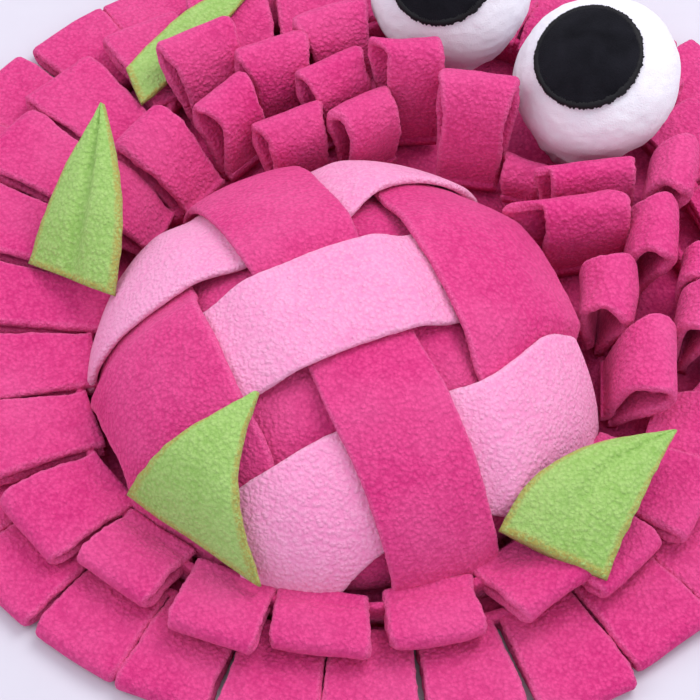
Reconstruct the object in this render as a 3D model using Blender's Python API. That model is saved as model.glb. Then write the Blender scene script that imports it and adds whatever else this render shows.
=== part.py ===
"""Round fleece snuffle mat, 42 cm across, for feeding games with a dog or a cat.

A flat round backing carries rows of fleece strips, each folded double and sewn down at its
root. A stuffed dome under six woven strips, five puffy leaves and two stuffed ball eyes with
plush pupils are sewn on between the rows.

The origin is the centre of the backing's underside. +Z is up and +Y runs from the dome to the
eyes. Sizes in the tables are in millimetres, and MM turns them into Blender's metres.
"""

import math
import random

import bmesh
import bpy
from mathutils import Matrix, Vector

MM = 0.001
GAP = 0.4  # clearance between two pieces that touch

# Fleece
FLEECE = 3.2  # thickness of a strip
TAB_WIDTH = 41.0  # width of a rim strip
TAB_CREVICE = 1.6  # least space between two neighbours in a row
TAB_SPARE = 0.02  # and this share of the pitch more

# Backing
BACKING_RADIUS = 163.6
BACKING_THICK = 3.0
BAND_THICK = 4.0  # the sewn roots of a row, seen from above
BAND_LIP = 1.0  # how far a band stands above its strips' roots
RIM_BAND_INNER = BACKING_RADIUS + 0.6

# Rim rows. A spread is the range of a strip's own chance difference
LOWER_TIP = 211.0
LOWER_COUNT = 31
LOWER_PHASE = 0.2  # angle of the first strip
LOWER_TIP_SPREAD = (-4.0, 4.0)
LOWER_SAG_SPREAD = (0.0, 0.6)  # how far the upper layer lies down
LOWER_WIDTH_SPREAD = (0.93, 1.0)
LOWER_TURN_SPREAD = (-1.0, 1.0)
LOWER_ROOT_TUCK = 1.2
LOWER_BAND_MARGIN = 0.3  # the band is this far inside the strips' top and bottom
UPPER_TIP = 181.0
UPPER_COUNT = 26
UPPER_PHASE = 7.8
UPPER_TIP_SPREAD = (-3.0, 4.0)
UPPER_LIFT_SPREAD = (0.5, 3.5)  # how far a tip rises
UPPER_WIDTH_SPREAD = (0.92, 0.97)
UPPER_DIP = 5.0  # how far a root dips inside the lower row
UPPER_DIP_MARGIN = 4.0
UPPER_SEARCH_STEP = 0.5
UPPER_ROOT_TO_DOME = 113.3  # from the dome's centre
UPPER_FAN = 0.55  # share of the way to the dome's centre that the strips fan out from
# Least root radius of the upper row: from angle, to angle, radius
UPPER_LIMITS = ((-100.0, -80.0, 146.0), (-80.0, 30.0, 159.5), (30.0, 72.0, 141.0), (72.0, 113.0, 121.0))
FOLD_HEIGHT = 9.8  # height of a flat folded strip, both layers
UPPER_LEG_Z = 12.8  # centre line of the upper row's lower layer above the lower row

# Dome
DOME_X = 16.0
DOME_Y = -45.0
DOME_BASE = 10.0  # height of the dome's widest level
DOME_RADIUS = 99.5
DOME_RISE = 59.5
DOME_FOOT_RADIUS = 85.0
DOME_HEM_RADIUS = 93.0
DOME_HEM_HEIGHT = 2.4  # above the backing
DOME_SEGMENTS = 36

# Woven strips
WEAVE_TURN = 51.0  # direction of the pale strips, degrees from +X
WEAVE_THICK = 2.8
WEAVE_LOW = 3.3  # centre of an under strip above the dome
WEAVE_HIGH = 8.1  # centre of an over strip above the dome
WEAVE_SIDES = ((-98.0, -54.0), (-25.0, 24.5), (38.0, 95.0))  # edges of the pale strips
WEAVE_CROSS = ((-104.0, -54.5), (-28.5, 20.0), (39.5, 95.0))  # edges of the hot pink strips
WEAVE_ENDS = {"weave_pale_middle": (96.0, 98.0), "weave_pale_front": (76.0, 110.0)}  # cut short
WEAVE_NARROWS = {"weave_pale_back": (-5.0, 62.0, 28.0)}  # from, to, shift of the lower edge
WEAVE_MARGIN = 2.5  # a strip is at its full height this far before a crossing
WEAVE_KNEE = 0.46  # share of the radius within which a strip is cut across at even places
WEAVE_STEPS = 19
CLIMB_CUTS = 3  # cuts across a strip between two crossings
CUT_SPACING = 7.0  # least way from them to the next cut
FOOT_SHARE = 0.9995  # how much of the way down to its widest level the dome is covered
PALE_OVER = ((True, False, True), (False, True, False), (True, False, True))

# Eyes
EYE_RADIUS = 37.4
EYE_DEPTH = 26.0  # half of the ball's size the way that it looks
EYE_NECK = 13.0
EYE_FOOT = 14.5
EYE_NECK_RISE = 4.0  # from the foot to the neck
EYE_BACK = -62.0  # degrees below its widest ring at which the ball meets the neck
# Eyes: centre x, y and height, foot x and y, and the way that the pupil looks
EYES = {
    "right": (48.0, 133.0, 46.0, 45.0, 126.0, (-0.09, -0.36, 0.93)),
    "left": (-32.0, 148.0, 50.5, -31.0, 131.0, (0.0, -0.5, 0.87)),
}
PUPIL_LIFT = 0.8
PUPIL_THICK = 2.6
PUPIL_WIDE = 23.0
PUPIL_TALL = 23.5

COLOURS = {
    "hot_pink_fleece": (0.80, 0.07, 0.25),
    "light_pink_fleece": (0.91, 0.42, 0.64),
    "green_fleece": (0.37, 0.60, 0.17),
    "white_plush": (0.88, 0.87, 0.90),
    "black_plush": (0.012, 0.012, 0.018),
}
ROUGHNESS = 0.95

# Standing loops of the head, one row of the mat for each name.
# row: root x, root y, heading, width, reach, rise, opening, lean to the left of the heading
HEAD_LOOPS = {
    "loops_crown": (
        (-57, 48, 143, 31, 18, 23, 10, 0),
        (-36, 69, 150, 31, 15, 28, 12, 0),
    ),
    "loops_brow": ((10, 83.5, 109, 34, 25, 41, 12, 0),),
    "loops_left_inner": (
        (-85, 43, 163, 28, 22, 25, 12, 0),
        (-78.5, 74.5, 140, 31, 24, 25, 11, 0),
        (-51, 80, 147, 32, 21, 27, 11, 0),
    ),
    "loops_left_outer": (
        (-107, 64, 150, 35, 27, 26, 9, 0),
        (-64, 104, 138, 31, 23, 27, 11, 0),
        (-25, 96, 118, 29, 16, 45, 9, 6),
    ),
    "loops_cheek": (
        (72, 66.5, 127, 44, 12, 30, 10, 13),
        (99, 35.5, 22, 33, 19, 22, 16, 0),
    ),
    "loops_right_inner": (
        (37, 86, 97, 20, 10, 12, 7, 0),
        (66, 88.5, 127, 44, 8, 30, 6, 3),
        (99.5, 71, 23, 35, 19, 25, 11, 0),
        (118.5, 5, 25, 36, 27, 21, 12, 0),
    ),
    "loops_right_outer": (
        (94.5, 106, 17, 29, 18, 26, 11, 0),
        (130.5, 66, 14, 22, 12, 25, 9, 0),
        (135.5, 42.5, 15, 29, 18, 23, 10, 0),
    ),
    "loops_left_side": (
        (-90, 14, 172, 30, 36, 22, 9, 0),
        (-96, -13, 188, 31, 36, 17, 9, 0),
    ),
}
LOOP_ROOT_Z = 7.0
LOOP_PINCH = 7.0  # between the centres of the two layers at a root
LOOP_ROOT_SHARE = 0.78  # width at a root, as a share of the width at the fold
LOOP_FLARE_SHARE = 0.5  # share of the reach within which a loop spreads to its full width
LOOP_BAND_SHARE = 0.36  # half of a band's length under a loop, as a share of its width

# Leaves: base left, base right, tip, side bulges, bow towards the light and thickness
LEAVES = {
    "leaf_left": ((-131, -60, 22), (-83, -67, 38), (-130, 6, 63), 1, 10, 3, 9),
    "leaf_front": ((-32, -143, 25.5), (37, -156, 27.5), (6, -99, 70.5), 2, -3, 13.5, 8),
    "leaf_right": ((110, -91, 31.5), (157, -88, 25.8), (155, -17, 38), 14, -1, 8, 11),
    "leaf_head_left": ((-150, 54, 24), (-133, 39, 24), (-122, 130, 27), 6, 1, 0, 4),
    "leaf_head_right": ((157, 30, 25.4), (165, 52, 25.4), (147, 108, 35), 8, 8, 2, 8),
}
LEAF_SEAM = 3.0  # thickness of the two layers where they are sewn together
LEAF_END = 0.97  # a leaf is cut off this share of the way to its point
LEAF_BASE_PUFF = 0.12  # share of the swelling that its base keeps
LEAF_ROUNDNESS = 0.7


def clear_scene():
    for thing in list(bpy.data.objects):
        bpy.data.objects.remove(thing, do_unlink=True)


def material(name):
    found = bpy.data.materials.get(name)
    if found:
        return found
    made = bpy.data.materials.new(name)
    made.use_nodes = True
    shader = made.node_tree.nodes["Principled BSDF"]
    shader.inputs["Base Color"].default_value = (*COLOURS[name], 1.0)
    shader.inputs["Roughness"].default_value = ROUGHNESS
    shader.inputs["Metallic"].default_value = 0.0
    made.diffuse_color = (*COLOURS[name], 1.0)
    return made


def add_object(name, bm, slot, smooth=True):
    """A mesh object from a bmesh in millimetres."""
    bmesh.ops.recalc_face_normals(bm, faces=bm.faces)
    bmesh.ops.scale(bm, vec=(MM, MM, MM), verts=bm.verts)
    mesh = bpy.data.meshes.new(name)
    bm.to_mesh(mesh)
    bm.free()
    mesh.materials.append(material(slot))
    if smooth:
        mesh.shade_smooth()
        mesh.set_sharp_from_angle(angle=math.radians(50))
    made = bpy.data.objects.new(name, mesh)
    bpy.context.scene.collection.objects.link(made)
    return made


def hide_helper(helper):
    helper.hide_render = True
    helper.display_type = "WIRE"


def polar(radius, angle):
    """A point at this distance from the mat's centre, degrees anticlockwise from +Y."""
    turn = math.radians(angle)
    return Vector((-radius * math.sin(turn), radius * math.cos(turn), 0.0))


def grid_faces(bm, rings, closed_ring, closed_path=False):
    """Skins a list of rings of vertices and returns nothing."""
    last = len(rings) if closed_path else len(rings) - 1
    for i in range(last):
        here = rings[i]
        there = rings[(i + 1) % len(rings)]
        count = len(here) if closed_ring else len(here) - 1
        for j in range(count):
            k = (j + 1) % len(here)
            bm.faces.new((here[j], here[k], there[k], there[j]))


def lathe(bm, profile, centre, segments):
    """A closed turned solid; the profile runs from the underside's rim to a point on top."""
    rings = []
    for radius, z in profile[:-1]:
        rings.append(
            [
                bm.verts.new(
                    (
                        centre[0] + radius * math.cos(2 * math.pi * k / segments),
                        centre[1] + radius * math.sin(2 * math.pi * k / segments),
                        z,
                    )
                )
                for k in range(segments)
            ]
        )
    grid_faces(bm, rings, True)
    bm.faces.new(list(reversed(rings[0])))
    top = bm.verts.new((centre[0], centre[1], profile[-1][1]))
    for k in range(segments):
        bm.faces.new((rings[-1][k], rings[-1][(k + 1) % segments], top))


# Folded strips


def fold_line(reach, leg, opening, pinch, steps):
    """Centre line of a folded strip in its own plane: out along the lower layer, round the
    fold and back along the upper one. leg(s) is the lower layer's height at s of the reach."""
    lower_steps, cap_steps, upper_steps = steps
    apart = opening + FLEECE
    end = reach - apart / 2
    slope = math.atan2(leg(1.0) - leg(0.9), 0.1 * end)
    along = Vector((math.cos(slope), math.sin(slope)))
    across = Vector((-along.y, along.x))
    line = [Vector((end * k / lower_steps, leg(k / lower_steps))) for k in range(lower_steps)]
    hinge = Vector((end, leg(1.0))) + across * (apart / 2)
    for k in range(cap_steps + 1):
        turn = math.pi * (k / cap_steps - 0.5)
        line.append(hinge + along * (apart / 2 * math.cos(turn)) + across * (apart / 2 * math.sin(turn)))
    for k in range(upper_steps - 1, -1, -1):
        s = k / upper_steps
        lift = pinch + (apart - pinch) * math.sin(math.pi / 2 * min(1.0, 1.25 * s))
        line.append(Vector((end * s, leg(s))) + across * lift)
    return line


def folded_strip(bm, root, heading, line, width_at, lean=0.0):
    """Sweeps the four-sided section of a strip along its centre line, its tip leaning left."""
    tip = max(point.x for point in line)
    turn = math.radians(heading)
    out = Vector((math.cos(turn), math.sin(turn), 0.0))
    side = Vector((-out.y, out.x, 0.0))
    up = Vector((0.0, 0.0, 1.0))
    rings = []
    for i, point in enumerate(line):
        before = line[max(i - 1, 0)]
        after = line[min(i + 1, len(line) - 1)]
        along = (after - before).normalized()
        normal = Vector((-along.y, along.x))
        bend = 1.0
        if 0 < i < len(line) - 1:
            step = (after - point).normalized()
            bend = 1.0 / max(0.6, step.dot(along))
        half = width_at(point.x) / 2
        aside = lean * max(0.0, point.x) / tip
        ring = []
        for sideways, outward in ((-1, -1), (1, -1), (1, 1), (-1, 1)):
            flat = point + normal * (outward * bend * FLEECE / 2)
            spot = root + out * flat.x + up * flat.y + side * (sideways * half + aside)
            ring.append(bm.verts.new(spot))
        rings.append(ring)
    grid_faces(bm, rings, True)
    bm.faces.new(list(reversed(rings[0])))
    bm.faces.new(rings[-1])


def band(bm, points, low, highs, closed):
    """The narrow strip that a row's roots are sewn into, as high as the roots at each point."""
    rings = []
    count = len(points)
    for i, point in enumerate(points):
        before = points[(i - 1) % count] if closed else points[max(i - 1, 0)]
        after = points[(i + 1) % count] if closed else points[min(i + 1, count - 1)]
        along = (after - before).normalized()
        across = Vector((-along.y, along.x, 0.0)) * (BAND_THICK / 2)
        rings.append(
            [
                bm.verts.new((point.x + side * across.x, point.y + side * across.y, z))
                for side, z in ((-1, low), (1, low), (1, highs[i]), (-1, highs[i]))
            ]
        )
    grid_faces(bm, rings, True, closed)
    if not closed:
        bm.faces.new(list(reversed(rings[0])))
        bm.faces.new(rings[-1])


def add_row(name, root_band, strips):
    """One node: the band, with the folded strips joined to it at their roots."""
    row = add_object(name, root_band, "hot_pink_fleece", smooth=False)
    helper = add_object(name + "_strips", strips, "hot_pink_fleece", smooth=False)
    hide_helper(helper)
    join = row.modifiers.new("sew", "BOOLEAN")
    join.operation = "UNION"
    join.solver = "EXACT"
    join.use_self = True
    join.object = helper
    return row


def upper_root(tip, out, angle):
    """Follows a strip in from its tip to the row's root line, beside the dome or the head."""
    dome = Vector((DOME_X, DOME_Y, 0.0))
    turned = (angle + 180.0) % 360.0 - 180.0
    least = 0.0
    for first, last, radius in UPPER_LIMITS:
        if first <= turned < last:
            least = radius
    root = tip.copy()
    while root.length > least and (root - dome).length > UPPER_ROOT_TO_DOME:
        root -= out * UPPER_SEARCH_STEP
    return root


def pitch_width(count, root_radius):
    """Width of a rim strip at x from its root, never wider than its share of the circle."""

    def width_at(x):
        share = 2 * math.pi * (root_radius + max(x, 0.0)) / count
        return min(TAB_WIDTH, share - TAB_CREVICE - TAB_SPARE * share)

    return width_at


def make_lower_rim():
    rng = random.Random(11)
    root_radius = RIM_BAND_INNER + BAND_THICK / 2
    strips = bmesh.new()
    for k in range(LOWER_COUNT):
        angle = LOWER_PHASE + 360.0 * k / LOWER_COUNT
        reach = LOWER_TIP - root_radius + rng.uniform(*LOWER_TIP_SPREAD)
        opening = FOLD_HEIGHT - 2 * FLEECE - rng.uniform(*LOWER_SAG_SPREAD)
        line = fold_line(reach, lambda s: FLEECE / 2, opening, opening + FLEECE, (1, 4, 1))
        root = polar(root_radius + LOWER_ROOT_TUCK, angle)
        width = pitch_width(LOWER_COUNT, root_radius)
        shrink = rng.uniform(*LOWER_WIDTH_SPREAD)
        heading = angle + 90.0 + rng.uniform(*LOWER_TURN_SPREAD)
        folded_strip(strips, root, heading, line, lambda x, w=width, s=shrink: w(x) * s)
    points = [
        polar(root_radius, LOWER_PHASE + 180.0 * k / LOWER_COUNT) for k in range(2 * LOWER_COUNT)
    ]
    root_band = bmesh.new()
    highs = [FOLD_HEIGHT - LOWER_BAND_MARGIN] * len(points)
    band(root_band, points, LOWER_BAND_MARGIN, highs, True)
    add_row("rim_lower", root_band, strips)


def make_upper_rim():
    rng = random.Random(5)
    fan = Vector((DOME_X, DOME_Y, 0.0)) * UPPER_FAN
    strips = bmesh.new()
    roots = []
    highs = []
    for k in range(UPPER_COUNT):
        angle = UPPER_PHASE + 360.0 * k / UPPER_COUNT
        tip = polar(UPPER_TIP + rng.uniform(*UPPER_TIP_SPREAD), angle)
        out = (tip - fan).normalized()
        heading = math.degrees(math.atan2(out.y, out.x))
        root = upper_root(tip, out, angle)
        root_radius = root.length
        reach = (tip - root).length
        inner = max(0.0, min(1.0, (RIM_BAND_INNER - UPPER_DIP_MARGIN - root_radius) / reach))
        dip = UPPER_DIP * min(1.0, inner * 2)
        lift = rng.uniform(*UPPER_LIFT_SPREAD)

        def leg(s, inner=inner, dip=dip, lift=lift):
            if s < inner:
                return UPPER_LEG_Z - dip * (1 - s / inner)
            return UPPER_LEG_Z + lift * (s - inner) / (1 - inner)

        opening = FOLD_HEIGHT - 2 * FLEECE
        line = fold_line(reach, leg, opening, opening + FLEECE, (3, 4, 3))
        width = pitch_width(UPPER_COUNT, root_radius)
        shrink = rng.uniform(*UPPER_WIDTH_SPREAD)
        folded_strip(strips, root, heading, line, lambda x, w=width, s=shrink: w(x) * s)
        roots.append(root)
        highs.append(leg(0.0) + FOLD_HEIGHT - FLEECE + BAND_LIP)
    points = []
    tops = []
    for k in range(UPPER_COUNT):
        after = (k + 1) % UPPER_COUNT
        points += [roots[k], (roots[k] + roots[after]) / 2]
        tops += [highs[k], min(highs[k], highs[after])]
    root_band = bmesh.new()
    band(root_band, points, BACKING_THICK + GAP, tops, True)
    add_row("rim_upper", root_band, strips)


def make_head_loops():
    for name, loops in HEAD_LOOPS.items():
        strips = bmesh.new()
        roots = []
        for x, y, heading, width, reach, rise, opening, lean in loops:
            root = Vector((x, y, 0.0))
            roots.append((root, heading, width))

            def leg(s, rise=rise):
                return LOOP_ROOT_Z + rise * (0.5 * s + 0.5 * math.sin(math.pi / 2 * s))

            def width_at(x, width=width, reach=reach):
                spread = min(1.0, max(0.0, x) / (LOOP_FLARE_SHARE * reach))
                return width * (LOOP_ROOT_SHARE + (1 - LOOP_ROOT_SHARE) * spread)

            line = fold_line(reach, leg, opening, LOOP_PINCH, (2, 4, 3))
            folded_strip(strips, root, heading, line, width_at, lean)
        run = roots[-1][0] - roots[0][0]
        points = []
        for root, heading, width in roots:
            side = polar(1.0, heading)
            if side.dot(run) < 0:
                side = -side
            aside = side * (width * LOOP_BAND_SHARE)
            points += [root - aside, root + aside]
        root_band = bmesh.new()
        tops = [LOOP_ROOT_Z + LOOP_PINCH + BAND_LIP] * len(points)
        band(root_band, points, BACKING_THICK + GAP, tops, False)
        add_row(name, root_band, strips)


# Backing, dome and weave


def make_backing():
    bm = bmesh.new()
    bmesh.ops.create_cone(
        bm,
        cap_ends=True,
        segments=64,
        radius1=BACKING_RADIUS,
        radius2=BACKING_RADIUS,
        depth=BACKING_THICK,
        matrix=Matrix.Translation((0.0, 0.0, BACKING_THICK / 2)),
    )
    add_object("backing", bm, "hot_pink_fleece")


def make_dome():
    profile = [
        (DOME_FOOT_RADIUS, BACKING_THICK + GAP),
        (DOME_HEM_RADIUS, BACKING_THICK + DOME_HEM_HEIGHT),
    ]
    rings = 9
    for k in range(rings):
        rise = math.pi / 2 * k / rings
        profile.append((DOME_RADIUS * math.cos(rise), DOME_BASE + DOME_RISE * math.sin(rise)))
    profile.append((0.0, DOME_BASE + DOME_RISE))
    bm = bmesh.new()
    lathe(bm, profile, (DOME_X, DOME_Y), DOME_SEGMENTS)
    add_object("dome_cushion", bm, "hot_pink_fleece")


def smooth_step(x):
    x = max(0.0, min(1.0, x))
    return x * x * (3 - 2 * x)


def weave_height(along, crossed, overs):
    """Height above the dome of a strip's centre, over or under each strip that it crosses."""
    levels = [WEAVE_HIGH if over else WEAVE_LOW for over in overs]
    height = levels[0]
    for k in range(2):
        start = crossed[k][1] + WEAVE_MARGIN
        end = crossed[k + 1][0] - WEAVE_MARGIN
        height += (levels[k + 1] - levels[k]) * smooth_step((along - start) / (end - start))
    return height


def weave_sections(crossed):
    """Where a strip is cut across: evenly round the dome, but closer between two crossings."""
    end = DOME_RADIUS + WEAVE_HIGH
    climbs = []
    for k in range(2):
        start = crossed[k][1] + WEAVE_MARGIN
        stop = crossed[k + 1][0] - WEAVE_MARGIN
        climbs += [start + (stop - start) * n / CLIMB_CUTS for n in range(CLIMB_CUTS + 1)]
    even = [-end * math.cos(math.pi * n / WEAVE_STEPS) for n in range(WEAVE_STEPS + 1)]
    clear = [place for place in even if min(abs(place - climb) for climb in climbs) > CUT_SPACING]
    return sorted(climbs + clear)


def spread_run(run, last):
    """Moves the outer cuts so that the last one falls on the strip's end all across it."""
    knee = min(WEAVE_KNEE, 0.9 * last)
    size = abs(run)
    if size > knee:
        size = knee + (last - knee) * (size - knee) / (1 - knee)
    return math.copysign(size, run)


def make_weave_strip(name, slot, turn, edges, crossed, overs):
    across_steps = 3
    direction = math.radians(turn)
    ahead = Vector((math.cos(direction), math.sin(direction), 0.0))
    left = Vector((-ahead.y, ahead.x, 0.0))
    centre = Vector((DOME_X, DOME_Y, DOME_BASE))
    outer = DOME_RADIUS + WEAVE_HIGH
    ends = WEAVE_ENDS.get(name, (outer, outer))
    narrow_from, narrow_to, narrow_by = WEAVE_NARROWS.get(name, (0.0, outer, 0.0))
    bm = bmesh.new()
    rings = []
    for place in weave_sections(crossed):
        upper_line = []
        lower_line = []
        end = ends[0] if place < 0 else ends[1]
        low = edges[0] + narrow_by * smooth_step((place - narrow_from) / (narrow_to - narrow_from))
        tilts = [math.asin(edge / outer) for edge in (low, edges[1])]
        for j in range(across_steps + 1):
            share = math.sin(tilts[0] + (tilts[1] - tilts[0]) * j / across_steps)
            belt = math.sqrt(1 - share * share)
            run = spread_run(place / outer, min(FOOT_SHARE * belt, end / outer))
            unit = ahead * run + left * share
            unit.z = math.sqrt(max(0.0, 1 - run * run - share * share))
            height = weave_height(run * outer, crossed, overs)
            for line, offset in ((upper_line, WEAVE_THICK / 2), (lower_line, -WEAVE_THICK / 2)):
                wide = DOME_RADIUS + height + offset
                tall = DOME_RISE + height + offset
                spot = Vector((unit.x * wide, unit.y * wide, unit.z * tall))
                line.append(bm.verts.new(centre + spot))
        rings.append(upper_line + list(reversed(lower_line)))
    grid_faces(bm, rings, True)
    for ring in (rings[0], rings[-1]):
        for j in range(across_steps):
            bm.faces.new((ring[j], ring[j + 1], ring[-j - 2], ring[-j - 1]))
    add_object(name, bm, slot)


def make_weave():
    names = ("front", "middle", "back")
    for i, name in enumerate(names):
        make_weave_strip(
            "weave_pale_" + name,
            "light_pink_fleece",
            WEAVE_TURN,
            WEAVE_SIDES[i],
            WEAVE_CROSS,
            PALE_OVER[i],
        )
        make_weave_strip(
            "weave_pink_" + name,
            "hot_pink_fleece",
            WEAVE_TURN - 90.0,
            WEAVE_CROSS[i],
            tuple((-high, -low) for low, high in reversed(WEAVE_SIDES)),
            tuple(not PALE_OVER[2 - k][i] for k in range(3)),
        )


# Leaves and eyes


def make_leaf(name, base_left, base_right, tip, bulge_left, bulge_right, bow, thick):
    rows = 9
    columns = 6
    left = Vector(base_left)
    right = Vector(base_right)
    point = Vector(tip)
    middle = (left + right) / 2
    across = (right - left).normalized()
    normal = across.cross(point - middle).normalized()
    if normal.z < 0:
        normal = -normal
    bm = bmesh.new()
    rings = []
    for i in range(rows + 1):
        s = LEAF_END * i / rows
        swell = math.sin(math.pi * min(1.0, s))
        edge_left = left.lerp(point, s) - across * (bulge_left * swell)
        edge_right = right.lerp(point, s) + across * (bulge_right * swell)
        upper = []
        lower = []
        for j in range(columns + 1):
            t = j / columns
            room = math.sin(math.pi * min(1.0, LEAF_BASE_PUFF + (1 - LEAF_BASE_PUFF) * s)) ** LEAF_ROUNDNESS
            puff = (1 - (2 * t - 1) ** 2) * room
            half = (LEAF_SEAM + (thick - LEAF_SEAM) * puff) / 2
            spot = edge_left.lerp(edge_right, t) + normal * (bow * swell)
            upper.append(bm.verts.new(spot + normal * half))
            lower.append(bm.verts.new(spot - normal * half))
        rings.append(upper + list(reversed(lower)))
    grid_faces(bm, rings, True)
    for ring in (rings[0], rings[-1]):
        for j in range(columns):
            bm.faces.new((ring[j], ring[j + 1], ring[-j - 2], ring[-j - 1]))
    add_object(name, bm, "green_fleece")


def make_eye(side, x, y, height, foot_x, foot_y, gaze):
    """A stuffed ball, a little flattened the way it looks, on a short gathered neck. Its lower
    half hangs straight down over the neck."""
    upright = Vector((0.0, 0.0, 1.0))
    facing = Vector(gaze).normalized()
    wide = facing.cross(Vector((0.0, 1.0, 0.0))).normalized()
    tall = wide.cross(facing).normalized()
    if tall.y < 0:
        wide = -wide
        tall = -tall
    centre = Vector((x, y, height))
    segments = 28

    def ring_round(middle, first, second, radius):
        turns = [2 * math.pi * k / segments for k in range(segments)]
        return [
            ball.verts.new(middle + first * (radius * math.cos(t)) + second * (radius * math.sin(t)))
            for t in turns
        ]

    ball = bmesh.new()
    level_x = Vector((math.copysign(1.0, wide.x), 0.0, 0.0))
    level_y = Vector((0.0, 1.0, 0.0))
    foot = Vector((foot_x, foot_y, BACKING_THICK + GAP))
    rings = [ring_round(foot, level_x, level_y, EYE_FOOT)]
    rings.append(ring_round(foot + Vector((0.0, 0.0, EYE_NECK_RISE)), level_x, level_y, EYE_NECK))
    steps = 11
    start = math.radians(EYE_BACK)
    for k in range(steps):
        tilt = start + (math.pi / 2 - start) * k / steps
        axis = upright if tilt < 0 else facing
        middle = centre + axis * (EYE_DEPTH * math.sin(tilt))
        rings.append(ring_round(middle, wide, tall, EYE_RADIUS * math.cos(tilt)))
    grid_faces(ball, rings, True)
    ball.faces.new(list(reversed(rings[0])))
    crown = ball.verts.new(centre + facing * EYE_DEPTH)
    for k in range(segments):
        ball.faces.new((rings[-1][k], rings[-1][(k + 1) % segments], crown))
    add_object("eye_" + side, ball, "white_plush")
    make_pupil(side, centre, facing, wide, tall)


def make_pupil(side, centre, facing, wide, tall):
    """An oval plush patch that follows the ball."""
    rounds = 4
    segments = 24
    patch = bmesh.new()

    def on_ball(ring, k, lift):
        turn = 2 * math.pi * k / segments
        along = wide * (PUPIL_WIDE * math.cos(turn)) + tall * (PUPIL_TALL * math.sin(turn))
        aside = along * (ring / rounds)
        share = aside.length / EYE_RADIUS
        depth = math.sqrt(1 - share * share)
        surface = aside + facing * (EYE_DEPTH * depth)
        slope = (aside / EYE_RADIUS**2 + facing * (depth / EYE_DEPTH)).normalized()
        return centre + surface + slope * lift

    tops = []
    for lift in (PUPIL_LIFT, PUPIL_LIFT + PUPIL_THICK):
        hub = patch.verts.new(centre + facing * (EYE_DEPTH + lift))
        rings = [
            [patch.verts.new(on_ball(ring, k, lift)) for k in range(segments)]
            for ring in range(1, rounds + 1)
        ]
        grid_faces(patch, rings, True)
        for k in range(segments):
            patch.faces.new((hub, rings[0][k], rings[0][(k + 1) % segments]))
        tops.append(rings[-1])
    grid_faces(patch, tops, True)
    add_object("pupil_" + side, patch, "black_plush")


def main():
    clear_scene()
    make_backing()
    make_lower_rim()
    make_upper_rim()
    make_head_loops()
    make_dome()
    make_weave()
    for name, leaf in LEAVES.items():
        make_leaf(name, *leaf)
    for side, eye in EYES.items():
        make_eye(side, *eye)


main()
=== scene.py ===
"""The dressed snuffle mat: fleece strips, woven dome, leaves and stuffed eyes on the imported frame.

Lengths in the tables are millimetres, in the frame's axes. Every strip follows the line of its
solid, a little thicker and softer.
"""

import math
import random

import bmesh
import bpy
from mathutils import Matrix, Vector, noise

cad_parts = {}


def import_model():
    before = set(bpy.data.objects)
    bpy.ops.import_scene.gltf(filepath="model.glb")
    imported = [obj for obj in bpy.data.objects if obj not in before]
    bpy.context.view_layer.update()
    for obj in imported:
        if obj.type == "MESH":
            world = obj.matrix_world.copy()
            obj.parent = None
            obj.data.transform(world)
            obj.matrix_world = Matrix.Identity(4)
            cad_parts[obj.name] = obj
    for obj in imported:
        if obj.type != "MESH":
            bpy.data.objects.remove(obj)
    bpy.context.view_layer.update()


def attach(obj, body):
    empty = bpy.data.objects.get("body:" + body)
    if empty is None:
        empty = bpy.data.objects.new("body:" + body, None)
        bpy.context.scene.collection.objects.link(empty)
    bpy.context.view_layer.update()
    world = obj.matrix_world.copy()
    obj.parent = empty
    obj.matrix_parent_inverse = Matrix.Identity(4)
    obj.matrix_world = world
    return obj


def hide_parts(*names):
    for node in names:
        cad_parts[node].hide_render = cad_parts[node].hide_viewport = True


MM = 0.001

# Camera
VIEW_AZIMUTH = 28.0
VIEW_ELEVATION = 55.0
VIEW_DISTANCE = 1150.0
VIEW_TARGET = (9.0, -27.4, 10.0)
VIEW_LENS = 137.8

# Fleece
RIM_FLEECE = 4.6  # thickness of a soft strip
LOOP_FLEECE = 4.8
SOLID_FLEECE = 3.2  # thickness of the solid that a strip follows
EDGE_STEPS = 3
EDGE_POINTS = 2 * EDGE_STEPS - 1  # points round a cloth's rounded edge
TAB_WIDTH = 42.0  # widest strip of the upper rim row
TAB_CREVICE = 0.9  # gap between two neighbours
LOWER_TAB_WIDTH = 44.0
LOWER_TAB_CREVICE = 0.1
ROOT_TUCK = 2.4  # how far a strip reaches behind the middle of its band
UPPER_TUCK = 5.5
CORNER = 0.06  # how much narrower a strip is at its fold
LOWER_CORNER = 0.035
CUT_WAVE = 0.6  # how far a cut edge is ragged
SIDE_WAVE = 0.7  # how far a strip's side wanders

# Backing and rim
BACKING_RADIUS = 163.6
BACKING_THICK = 3.0
RIM_BAND_INNER = BACKING_RADIUS + 0.6
BAND_THICK = 4.0
LOWER_TIP = 211.0
LOWER_COUNT = 31
LOWER_PHASE = 0.2
UPPER_TIP = 181.0
UPPER_COUNT = 26
UPPER_PHASE = 7.8
UPPER_ROOT_TO_DOME = 113.3
UPPER_FAN = 0.55
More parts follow.
